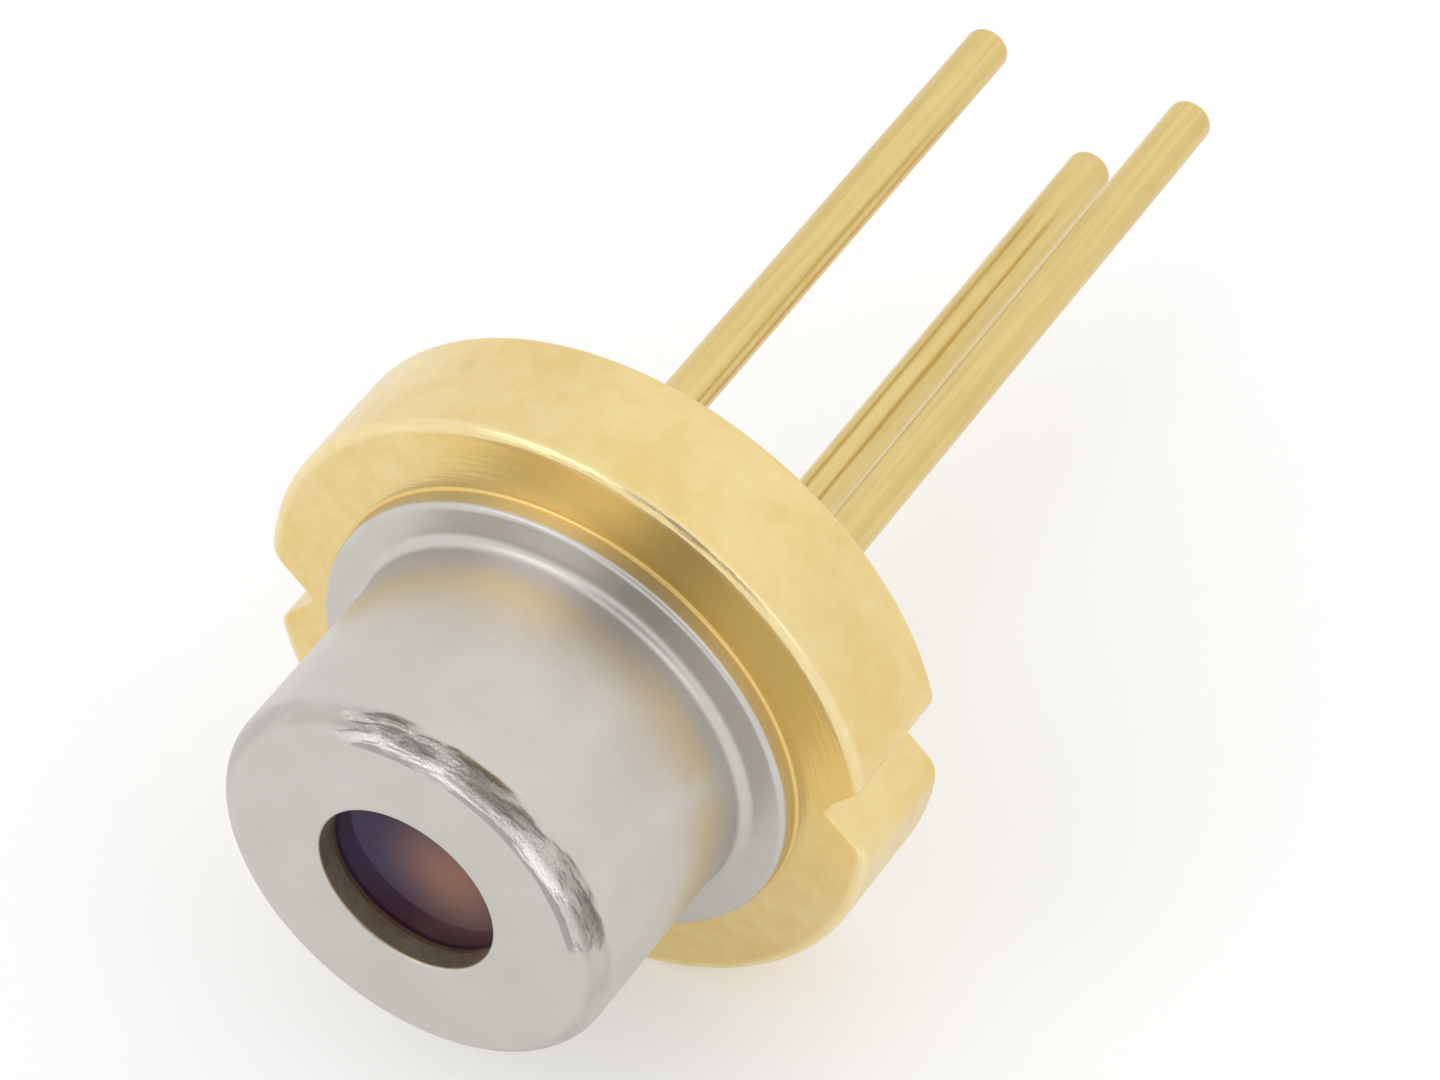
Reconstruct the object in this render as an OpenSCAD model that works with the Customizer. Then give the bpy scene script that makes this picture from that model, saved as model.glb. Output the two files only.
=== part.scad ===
// Laser diode in a 5.6 mm metal can: stem with three leads, laser and monitor chips, window cap.
// It lies on its rim with the beam level: beam along -Y, leads along +Y, key notch down at -Z.
// The origin is the centre of the stem's front face, which the cap stands on.
// Every module is drawn upright, with the beam along +Z and the key notch at -Y, and then laid down.

/* [Stem] */
// Diameter of the round stem
stem_d = 5.6; // [5.4:0.05:6]
// Thickness of the stem
stem_t = 1.15; // [0.9:0.05:1.6]
// Radius on the stem's front and back rim edges
stem_edge_r = 0.08; // [0.03:0.01:0.15]

/* [Rim notches] */
// Depth of the two V notches
v_notch_depth = 0.4; // [0.25:0.05:0.45]
// Included angle of the V notches
v_notch_angle = 90; // [60:5:120]
// Radius at the root of the V notches
v_notch_root_r = 0.05; // [0.02:0.01:0.1]
// Width of the square key notch
key_notch_w = 1; // [0.6:0.1:1.4]
// Depth of the square key notch
key_notch_depth = 0.4; // [0.25:0.05:0.45]

/* [Leads] */
// Diameter of each lead
lead_d = 0.4; // [0.3:0.05:0.5]
// Length of each lead behind the stem
lead_len = 7.4; // [5:0.1:10]
// Diameter of the circle that the leads stand on
lead_circle_d = 2; // [1.9:0.05:2.3]
// Radius on the cut ends of the leads
lead_tip_r = 0.09; // [0.02:0.01:0.12]
// Height of the laser lead's post above the stem
laser_post_h = 1.15; // [1:0.05:1.25]
// Height of the monitor lead's post above the stem
monitor_post_h = 0.55; // [0.4:0.05:0.8]
// Length of the flat coined on the laser lead's post
post_flat_len = 0.5; // [0.4:0.05:0.7]
// Height of that flat above the lead's axis
post_flat_off = 0.06; // [0:0.01:0.1]

/* [Glass seals] */
// Diameter of the glass beads that carry the sealed leads
seal_d = 0.9; // [0.8:0.05:1]
// Sag of the glass surface between lead and stem
seal_sag = 0.05; // [0.02:0.01:0.08]

/* [Cap] */
// Outer diameter of the cap's body
cap_d = 3.55; // [3.45:0.05:3.8]
// Height of the cap's front above the stem
cap_h = 2.3; // [2.2:0.05:2.8]
// Wall thickness of the cap
cap_wall = 0.15; // [0.1:0.01:0.18]
// Thickness of the cap's front
cap_front_t = 0.2; // [0.12:0.01:0.25]
// Radius of the cap's rolled nose
nose_r = 0.24; // [0.2:0.01:0.3]
// Width of the flange outside the body
flange_w = 0.375; // [0.3:0.01:0.42]
// Thickness of the flange
flange_t = 0.15; // [0.12:0.01:0.2]
// Radius on the flange's outer edges
flange_edge_r = 0.045; // [0.02:0.005:0.06]
// Radius of the fillet between flange and body
flange_fillet_r = 0.1; // [0.04:0.01:0.14]

/* [Welds] */
// Height of the weld ring that the flange stands on
weld_ring_h = 0.04; // [0.03:0.005:0.06]
// Width of the weld ring under the flange
weld_ring_w = 0.26; // [0.16:0.02:0.3]
// Width of the bead that is squeezed out past the flange
weld_bead_w = 0.03; // [0.01:0.005:0.04]
// Depth to which each weld sinks into the stem
weld_sink = 0.02; // [0.01:0.005:0.03]
// Width of the weld foot round the case lead
weld_foot_w = 0.12; // [0.05:0.01:0.2]

/* [Window] */
// Diameter of the aperture in the cap's front
aperture_d = 1.6; // [1.2:0.05:1.8]
// Radius on the front edge of the aperture
aperture_edge_r = 0.03; // [0.01:0.005:0.05]
// Width of the glass that lies behind the cap's front, all round
glass_lap = 0.4; // [0.3:0.02:0.45]
// Thickness of the window glass
glass_t = 0.25; // [0.2:0.01:0.3]
// Thickness of the sealing glass between window and cap
seal_film_t = 0.04; // [0.02:0.01:0.06]
// Width of the sealing glass's fillet round the window
seal_fillet_w = 0.16; // [0.1:0.01:0.2]

/* [Laser] */
// Height of the laser's front facet above the stem
emitter_h = 1.27; // [1.2:0.01:1.4]
// Width of the laser chip
chip_w = 0.25; // [0.2:0.01:0.3]
// Thickness of the laser chip
chip_t = 0.1; // [0.08:0.01:0.12]
// Length of the laser chip along the beam
chip_len = 0.4; // [0.25:0.05:0.6]
// Overhang of the chip's facet past the submount
chip_overhang = 0.01; // [0.005:0.005:0.02]
// Width of the ceramic submount
submount_w = 0.6; // [0.5:0.02:0.66]
// Thickness of the ceramic submount
submount_t = 0.2; // [0.15:0.01:0.25]
// Length of the submount along the beam
submount_len = 0.8; // [0.7:0.05:1]
// Setback of the block's front from the submount's front
submount_overhang = 0.03; // [0:0.01:0.05]
// Thickness of each solder layer
solder_t = 0.02; // [0.01:0.005:0.04]
// Margin of each solder layer inside the piece that it carries
solder_inset = 0.02; // [0:0.005:0.04]

/* [Heat sink block] */
// Gap between the block and the glass seals beside it
block_seal_gap = 0.04; // [0.02:0.01:0.08]
// Gap between the block and the cap's wall
block_cap_gap = 0.2; // [0.12:0.02:0.3]
// Chamfer on the block's round front edge
block_chamfer = 0.1; // [0.04:0.01:0.2]

/* [Photodiode] */
// Side of the square photodiode chip
pd_w = 0.5; // [0.4:0.02:0.56]
// Thickness of the photodiode chip
pd_t = 0.22; // [0.15:0.01:0.3]
// Tilt of the pocket floor that keeps reflections off the laser
pd_tilt = 12; // [8:1:16]
// Clearance between the chip and the pocket's walls
pd_pocket_gap = 0.1; // [0.05:0.01:0.12]

/* [Bond wires] */
// Diameter of the gold bond wire
wire_d = 0.03; // [0.02:0.005:0.04]
// Diameter of the bonded foot at each end of a wire
foot_d = 0.08; // [0.07:0.005:0.1]
// Height of the bonded foot
foot_h = 0.02; // [0.02:0.005:0.03]
// Rise of each wire's loop above its chord
wire_rise = 0.14; // [0.1:0.01:0.15]

/* [Hidden] */

// Facets round the large parts and round the small ones
$fn = 96;
small_fn = 32;
// Overshoot of a cutter past the face that it opens
over = 0.5;

stem_r = stem_d / 2;
lead_r = lead_d / 2;
seal_r = seal_d / 2;
lead_circle_r = lead_circle_d / 2;
cap_r = cap_d / 2;
cap_bore_r = cap_r - cap_wall;
aperture_r = aperture_d / 2;
glass_r = aperture_r + glass_lap;
flange_r = cap_r + flange_w;
weld_ring_r = flange_r + weld_bead_w;
weld_foot_r = lead_r + weld_foot_w;

// Places of the three leads in the plane of the stem
laser_lead_xy = [-lead_circle_r, 0];
monitor_lead_xy = [lead_circle_r, 0];
case_lead_xy = [0, -lead_circle_r];

// Faces of the laser's stack, which is centred on the package's axis
submount_y = -chip_t / 2;
block_y = submount_y - submount_t - solder_t;
submount_front_z = emitter_h - chip_overhang;
block_h = submount_front_z - submount_overhang;
block_r = cap_bore_r - block_cap_gap;
block_w = lead_circle_d - seal_d - 2 * block_seal_gap;

// The pocket's floor starts at the block's foot and sinks away from it
pocket_y = block_y;
pocket_side = pd_w + 2 * pd_pocket_gap;
pd_top_z = solder_t + pd_t;

// Faces of the window's stack
glass_front_z = cap_h - cap_front_t - seal_film_t;

// Colours of the finishes
gold = "#e6c878";
pale_gold = "#efd9a0";
nickel = "#c9c6c1";
seal_glass = "#3d4a52";
solder_grey = "#a9a9a4";

function unit(v) = v / norm(v);
function slope_y(p) = p[1] * cos(pd_tilt) + p[2] * sin(pd_tilt);
function slope_z(p) = p[2] * cos(pd_tilt) - p[1] * sin(pd_tilt);
// A point given along the pocket's floor, in the upright frame
function on_pocket(p) = [p[0], pocket_y + slope_y(p), slope_z(p)];

// Lays an upright piece down: beam to -Y, key notch to -Z
module laid_down() {
    rotate([90, 0, 0]) children();
}

// Puts a piece drawn on the pocket's floor into the upright frame
module in_pocket() {
    translate([0, pocket_y, 0]) rotate([-pd_tilt, 0, 0]) children();
}

// Rectangle from one radius and height to another
module band(r0, r1, z0, z1) {
    translate([r0, z0]) square([r1 - r0, z1 - z0]);
}

// Concave corner of a given radius, filling the angle between +X and +Y
module corner_fillet(r) {
    difference() {
        square(r);
        translate([r, r]) circle(r = r, $fn = small_fn);
    }
}

// Profile of a round bar with its far end rounded, from the axis outwards
module rounded_end_bar(r, z0, z1, end_r) {
    band(0, r, z0, z1 - end_r);
    band(0, r - end_r, z0, z1);
    translate([r - end_r, z1 - end_r]) circle(r = end_r, $fn = small_fn);
}

// Half section of the case lead's weld, sunk into the stem as a shallow cone
module weld_pool() {
    polygon([[0, 0], [weld_foot_r, 0], [lead_r, weld_sink], [0, weld_sink]]);
}

// V groove through the rim at +X, parallel to the axis, with a round root
module v_notch() {
    half_angle = v_notch_angle / 2;
    root_x = stem_r - v_notch_depth + v_notch_root_r;
    wall_x = root_x - v_notch_root_r * sin(half_angle);
    wall_y = v_notch_root_r * cos(half_angle);
    mouth_x = stem_r + over;
    mouth_y = wall_y + (mouth_x - wall_x) * tan(half_angle);
    translate([0, 0, -stem_t - over]) linear_extrude(stem_t + 2 * over) {
        polygon([[wall_x, wall_y], [mouth_x, mouth_y], [mouth_x, -mouth_y], [wall_x, -wall_y]]);
        translate([root_x, 0]) circle(r = v_notch_root_r, $fn = small_fn);
    }
}

module stem() {
    color(gold) laid_down() difference() {
        rotate_extrude() {
            band(0, stem_r - stem_edge_r, -stem_t, 0);
            band(0, stem_r, -stem_t + stem_edge_r, -stem_edge_r);
            for (z = [-stem_edge_r, -stem_t + stem_edge_r])
                translate([stem_r - stem_edge_r, z]) circle(r = stem_edge_r, $fn = small_fn);
        }
        for (turn = [0, 180]) rotate([0, 0, turn]) v_notch();
        translate([-key_notch_w / 2, -stem_r - over, -stem_t - over])
            cube([key_notch_w, key_notch_depth + over, stem_t + 2 * over]);
        for (xy = [laser_lead_xy, monitor_lead_xy])
            translate([xy[0], xy[1], -stem_t - over]) cylinder(r = seal_r, h = stem_t + 2 * over);
        in_pocket() translate([-pocket_side / 2, 0, 0]) cube([pocket_side, pocket_side, over]);
        rotate_extrude() band(flange_r - weld_ring_w, weld_ring_r, -weld_sink, over);
        translate([case_lead_xy[0], case_lead_xy[1], -stem_t]) rotate_extrude($fn = small_fn) {
            weld_pool();
            band(0, weld_foot_r, -over, 0);
        }
    }
}

module heat_sink_block() {
    color(pale_gold) laid_down() intersection() {
        rotate_extrude() difference() {
            band(0, block_r, 0, block_h);
            translate([block_r, block_h]) rotate(45)
                square(block_chamfer * sqrt(2), center = true);
        }
        translate([-block_w / 2, -block_r, 0]) cube([block_w, block_r + block_y, block_h]);
    }
}

// Glass bead round a lead, its two faces sagging between lead and stem
module glass_seal(xy) {
    half_gap = (seal_r - lead_r) / 2;
    sag_r = (half_gap * half_gap + seal_sag * seal_sag) / (2 * seal_sag);
    color(seal_glass) laid_down() translate([xy[0], xy[1], 0]) rotate_extrude() difference() {
        band(lead_r, seal_r, -stem_t, 0);
        for (z = [sag_r - seal_sag, -stem_t - sag_r + seal_sag])
            translate([lead_r + half_gap, z]) circle(r = sag_r);
    }
}

module glass_seal_laser() {
    glass_seal(laser_lead_xy);
}

module glass_seal_monitor() {
    glass_seal(monitor_lead_xy);
}

// Round lead from its post inside the can to its rounded cut end
module lead(xy, post_h) {
    translate([xy[0], xy[1], 0]) rotate([180, 0, 0]) rotate_extrude($fn = small_fn)
        rounded_end_bar(lead_r, -post_h, stem_t + lead_len, lead_tip_r);
}

module lead_laser() {
    color(gold) laid_down() difference() {
        lead(laser_lead_xy, laser_post_h);
        translate([laser_lead_xy[0] - lead_d, post_flat_off, laser_post_h - post_flat_len])
            cube([2 * lead_d, lead_d, post_flat_len + over]);
    }
}

module lead_monitor() {
    color(gold) laid_down() lead(monitor_lead_xy, monitor_post_h);
}

module lead_case() {
    color(gold) laid_down() {
        lead(case_lead_xy, weld_sink - stem_t);
        translate([case_lead_xy[0], case_lead_xy[1], -stem_t]) rotate([180, 0, 0])
            rotate_extrude($fn = small_fn) {
                mirror([0, 1]) weld_pool();
                translate([lead_r, 0]) corner_fillet(weld_foot_w);
            }
    }
}

module submount_solder() {
    color(solder_grey) laid_down()
        translate([-submount_w / 2 + solder_inset, block_y, submount_front_z - submount_len])
            cube([submount_w - 2 * solder_inset, solder_t, submount_len - submount_overhang]);
}

module submount() {
    color("#e9e4da") laid_down()
        translate([-submount_w / 2, submount_y - submount_t, submount_front_z - submount_len])
            cube([submount_w, submount_t, submount_len]);
}

module laser_chip() {
    color("#4b4a55") laid_down()
        translate([-chip_w / 2, submount_y, emitter_h - chip_len])
            cube([chip_w, chip_t, chip_len]);
}

module photodiode_solder() {
    color(solder_grey) laid_down() in_pocket()
        translate([-pd_w / 2 + solder_inset, pd_pocket_gap + solder_inset, 0])
            cube([pd_w - 2 * solder_inset, pd_w - 2 * solder_inset, solder_t]);
}

module photodiode() {
    color("#2f3d5c") laid_down() in_pocket()
        translate([-pd_w / 2, pd_pocket_gap, solder_t]) cube([pd_w, pd_w, pd_t]);
}

// Bonded foot of a wire, standing on a pad with the given normal
module wire_foot(pad, normal) {
    side = unit(cross(normal, [1, 0, 0]));
    other = cross(side, normal);
    multmatrix([for (i = [0:2]) [side[i], -other[i], normal[i], pad[i]]])
        cylinder(d = foot_d, h = foot_h, $fn = small_fn);
}

// Gold wire bonded on two pads: a foot on each and a round loop between them
module bond_wire(pad_a, normal_a, pad_b, normal_b, up) {
    a = pad_a + foot_h * normal_a;
    b = pad_b + foot_h * normal_b;
    half_chord = norm(b - a) / 2;
    loop_r = (half_chord * half_chord + wire_rise * wire_rise) / (2 * wire_rise);
    half_angle = atan2(half_chord, loop_r - wire_rise);
    along = unit(b - a);
    side = unit(cross(along, up));
    rise = cross(side, along);
    middle = (a + b) / 2;
    wire_foot(pad_a, normal_a);
    wire_foot(pad_b, normal_b);
    multmatrix([for (i = [0:2]) [along[i], rise[i], side[i], middle[i]]])
        translate([0, wire_rise - loop_r, 0]) rotate([0, 0, 90 - half_angle])
            rotate_extrude(angle = 2 * half_angle) translate([loop_r, 0])
                circle(d = wire_d, $fn = small_fn);
}

module wire_laser() {
    chip_pad = [0, submount_y + chip_t, emitter_h - chip_len / 2];
    post_pad = [laser_lead_xy[0], post_flat_off, laser_post_h - post_flat_len / 2];
    color(gold) laid_down() bond_wire(chip_pad, [0, 1, 0], post_pad, [0, 1, 0], [0, 1, 0]);
}

module wire_ground() {
    edge_x = submount_w / 2;
    pad_z = submount_front_z - submount_len + foot_d;
    submount_pad = [edge_x - foot_d, submount_y, pad_z];
    block_pad = [(edge_x + block_w / 2) / 2, block_y, pad_z];
    color(gold) laid_down() bond_wire(submount_pad, [0, 1, 0], block_pad, [0, 1, 0], [0, 1, 0]);
}

module wire_monitor() {
    pd_pad = on_pocket([pd_w / 2 - foot_d, pd_pocket_gap + pd_w - foot_d, pd_top_z]);
    pd_normal = [0, sin(pd_tilt), cos(pd_tilt)];
    post_pad = [monitor_lead_xy[0], monitor_lead_xy[1], monitor_post_h];
    color(gold) laid_down() bond_wire(pd_pad, pd_normal, post_pad, [0, 0, 1], [0, 0, 1]);
}

// Outside of the cap's profile: flange, body and rolled nose
module cap_outline() {
    flange_z = weld_ring_h + flange_t;
    band(0, flange_r, weld_ring_h + flange_edge_r, flange_z - flange_edge_r);
    band(0, flange_r - flange_edge_r, weld_ring_h, flange_z);
    for (z = [weld_ring_h + flange_edge_r, flange_z - flange_edge_r])
        translate([flange_r - flange_edge_r, z]) circle(r = flange_edge_r, $fn = small_fn);
    translate([cap_r, flange_z]) corner_fillet(flange_fillet_r);
    band(0, cap_r, weld_ring_h, cap_h - nose_r);
    band(0, cap_r - nose_r, weld_ring_h, cap_h);
    translate([cap_r - nose_r, cap_h - nose_r]) circle(r = nose_r);
}

module cap() {
    cap_inside_z = cap_h - cap_front_t;
    rim_r = aperture_r + aperture_edge_r;
    rim_z = cap_h - aperture_edge_r;
    color(nickel) laid_down() rotate_extrude() {
        difference() {
            cap_outline();
            rounded_end_bar(cap_bore_r, 0, cap_inside_z, nose_r - cap_wall);
            band(0, aperture_r, 0, cap_h + over);
            band(0, rim_r, rim_z, cap_h + over);
        }
        translate([rim_r, rim_z]) circle(r = aperture_edge_r, $fn = small_fn);
        // Weld ring, sunk into the stem and squeezed out to a bead past the flange
        band(flange_r - weld_ring_w, weld_ring_r, -weld_sink, 0);
        band(flange_r - weld_ring_w, flange_r, 0, weld_ring_h);
        intersection() {
            translate([flange_r, 0]) circle(r = weld_bead_w, $fn = small_fn);
            band(flange_r, weld_ring_r, 0, weld_bead_w);
        }
    }
}

// Fired sealing glass: a film over the window's rim and a fillet round its edge
module window_seal() {
    cap_inside_z = cap_h - cap_front_t;
    color(seal_glass) laid_down() rotate_extrude() {
        band(aperture_r, glass_r, glass_front_z, cap_inside_z);
        translate([glass_r, cap_inside_z]) mirror([0, 1]) corner_fillet(seal_fillet_w);
    }
}

module window_glass() {
    color("#5a3f6e") laid_down() translate([0, 0, glass_front_z - glass_t])
        cylinder(r = glass_r, h = glass_t);
}

stem();
heat_sink_block();
glass_seal_laser();
glass_seal_monitor();
lead_laser();
lead_monitor();
lead_case();
submount_solder();
submount();
laser_chip();
photodiode_solder();
photodiode();
wire_laser();
wire_ground();
wire_monitor();
cap();
window_seal();
window_glass();
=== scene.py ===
# %% [markdown]
# # A laser diode in a metal can
#
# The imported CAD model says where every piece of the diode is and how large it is. This lesson gives those
# pieces their finish. What shows is built again with fine round surfaces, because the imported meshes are
# only as fine as the checks need, and everything gets a material that is made of nodes.

# %% Load the frame
import math

import bmesh
import bpy
from mathutils import Matrix, Vector


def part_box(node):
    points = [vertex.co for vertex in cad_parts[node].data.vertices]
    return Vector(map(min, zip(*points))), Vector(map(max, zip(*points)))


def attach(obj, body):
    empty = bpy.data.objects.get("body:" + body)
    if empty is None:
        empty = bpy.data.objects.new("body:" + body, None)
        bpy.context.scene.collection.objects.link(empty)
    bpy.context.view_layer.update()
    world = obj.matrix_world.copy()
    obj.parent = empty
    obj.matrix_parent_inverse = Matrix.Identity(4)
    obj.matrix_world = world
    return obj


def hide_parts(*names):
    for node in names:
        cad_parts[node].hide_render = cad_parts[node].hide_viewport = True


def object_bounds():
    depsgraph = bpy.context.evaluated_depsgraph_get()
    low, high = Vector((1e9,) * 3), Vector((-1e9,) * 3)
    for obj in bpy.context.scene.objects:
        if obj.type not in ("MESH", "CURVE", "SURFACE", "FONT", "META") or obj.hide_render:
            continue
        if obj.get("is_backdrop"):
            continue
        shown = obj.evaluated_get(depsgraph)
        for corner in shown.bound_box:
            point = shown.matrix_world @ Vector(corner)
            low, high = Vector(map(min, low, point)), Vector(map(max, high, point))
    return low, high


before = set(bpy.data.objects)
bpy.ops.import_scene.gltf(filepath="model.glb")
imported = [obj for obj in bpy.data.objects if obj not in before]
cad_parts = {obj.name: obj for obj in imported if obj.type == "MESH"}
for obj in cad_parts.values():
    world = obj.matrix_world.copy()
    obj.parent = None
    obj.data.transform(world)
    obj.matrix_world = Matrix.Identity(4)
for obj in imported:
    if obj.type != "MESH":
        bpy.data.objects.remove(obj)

cad_low, cad_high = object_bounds()
print("the CAD model measures", [round(1000 * side, 3) for side in cad_high - cad_low], "mm")

# %% [markdown]
# ## Drawing upright, lying down
#
# A can is drawn most easily as a catalogue shows it: upright, with the beam along the axis, in millimetres.
# The frame has the can lying on its rim with the beam along -Y, in metres. One function takes a point from
# the first to the second, and every piece goes through it, so no object is moved or turned afterwards.

# %% From upright millimetres to the frame
MM = 0.001


def laid_down(across, up_down, height):
    """Upright point in millimetres, height along the beam, as a point of the frame in metres."""
    return Vector((across, -height, up_down)) * MM


def half_width(node):
    """Radius in millimetres of a round node that stands on the can's axis."""
    low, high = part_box(node)
    return (high.x - low.x) / 2 / MM


def heights(node):
    """Lowest and highest point of a node along the beam, in millimetres."""
    low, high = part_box(node)
    return -high.y / MM, -low.y / MM


print("the stem reaches from", [round(height, 3) for height in heights("stem")], "mm to its front face")

# %% [markdown]
# ## A builder for turned pieces
#
# Nearly every visible piece was turned, drawn or fired round an axis. Such a piece is a profile that is
# swept round, so the builder grows a mesh loop by loop and joins neighbouring loops with quads. Blender's
# Screw modifier would do it too, but the rim of the stem has notches that change from loop to loop, and
# loops handle both. Two details keep the shading true: a support loop close to both ends of each long
# straight stretch, and edges over 30 degrees marked as sharp.

# %% The builder
SHARP_ANGLE = math.radians(30)
SUPPORT_GAP = 0.012
LONG_STRETCH = 0.06
MERGE_METRES = 1e-8
AROUND = 192


def arc(centre, radius, start, end, steps=8):
    """Points of an arc from one angle to another, in degrees."""
    turns = [math.radians(start + (end - start) * i / steps) for i in range(steps + 1)]
    return [(centre[0] + radius * math.cos(t), centre[1] + radius * math.sin(t)) for t in turns]


def supported(profile, closed):
    """The same profile with a point added close to both ends of each long straight stretch."""
    points = []
    ends = profile[1:] + (profile[:1] if closed else [])
    for start, end in zip(profile, ends):
        points.append(start)
        length = math.dist(start, end)
        if length > LONG_STRETCH:
            for share in (SUPPORT_GAP / length, 1 - SUPPORT_GAP / length):
                points.append(tuple(a + (b - a) * share for a, b in zip(start, end)))
    return points if closed else points + profile[-1:]


class Shell:
    """A closed mesh that grows loop by loop."""

    def __init__(self, around=AROUND):
        self.mesh = bmesh.new()
        self.around = around

    def loop(self, points, height):
        """One closed loop of vertices at a height, from points across the axis."""
        return [self.mesh.verts.new(laid_down(x, y, height)) for x, y in points]

    def ring(self, radius, height, centre=(0, 0)):
        """A round loop, or the single vertex that it shrinks to on the axis."""
        if radius == 0:
            return self.loop([centre], height)
        return self.loop(arc(centre, radius, 0, 360, self.around)[:-1], height)

    def bridge(self, first, second):
        """Joins two loops of equal length, or a loop and a single vertex."""
        count = max(len(first), len(second))
        for i in range(count):
            j = (i + 1) % count
            corners = [first[i % len(first)], first[j % len(first)],
                       second[j % len(second)], second[i % len(second)]]
            self.mesh.faces.new(list(dict.fromkeys(corners)))

    def chain(self, loops, closed=False):
        """Joins each loop to the next one, and the last to the first where the section is closed."""
        for first, second in zip(loops, loops[1:] + (loops[:1] if closed else [])):
            self.bridge(first, second)

    def lathe(self, profile, centre=(0, 0), closed=False):
        """Sweeps a profile of (radius, height) points round the axis."""
        rings = [self.ring(radius, height, centre) for radius, height in supported(profile, closed)]
        self.chain(rings, closed)

    def fill(self, *loops):
        """A flat face inside the first loop, with the other loops as holes in it."""
        edges = []
        for loop in loops:
            for first, second in zip(loop, loop[1:] + loop[:1]):
                edges.append(self.mesh.edges.get((first, second)) or self.mesh.edges.new((first, second)))
        bmesh.ops.triangle_fill(self.mesh, use_beauty=True, edges=edges)

    def finish(self, name, slot, material, *nodes):
        """Turns the loops into a piece, and hides the CAD nodes that it stands for."""
        bmesh.ops.remove_doubles(self.mesh, verts=self.mesh.verts, dist=MERGE_METRES)
        bmesh.ops.recalc_face_normals(self.mesh, faces=self.mesh.faces)
        for face in self.mesh.faces:
            face.smooth = True
        for edge in self.mesh.edges:
            edge.smooth = edge.calc_face_angle(math.pi) < SHARP_ANGLE
        mesh = bpy.data.meshes.new(name)
        self.mesh.to_mesh(mesh)
        self.mesh.free()
        piece = bpy.data.objects.new(name, mesh)
        bpy.context.scene.collection.objects.link(piece)
        mesh.materials.append(material)
        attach(piece, "root")
        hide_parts(*nodes)
        print(name, "has", len(mesh.polygons), "faces")


print("a quarter circle is drawn with", len(arc((0, 0), 1, 0, 90)), "points")


# %% [markdown]
# ## Shader sums that read like sums
#
# A node tree is a sum drawn as boxes. Wrapping a socket in a small class lets Python write the sum instead:
# each operator adds the Math node that it stands for, so `1 - mask` is a Subtract node. Everything that
# isn't a plain number, such as a texture or a colour mix, comes from one method, `add`.

# %% The shader classes
class Value:
    """A number that varies over a surface."""

    def __init__(self, finish, socket):
        self.finish = finish
        self.socket = socket

    def combine(self, operation, first, second):
        return self.finish.add("ShaderNodeMath", {"operation": operation}, {0: first, 1: second})

    def __add__(self, other):
        return self.combine("ADD", self, other)

    def __radd__(self, other):
        return self.combine("ADD", other, self)

    def __sub__(self, other):
        return self.combine("SUBTRACT", self, other)

    def __rsub__(self, other):
        return self.combine("SUBTRACT", other, self)

    def __mul__(self, other):
        return self.combine("MULTIPLY", self, other)

    def __rmul__(self, other):
        return self.combine("MULTIPLY", other, self)

    def __pow__(self, other):
        return self.combine("POWER", self, other)


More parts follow.
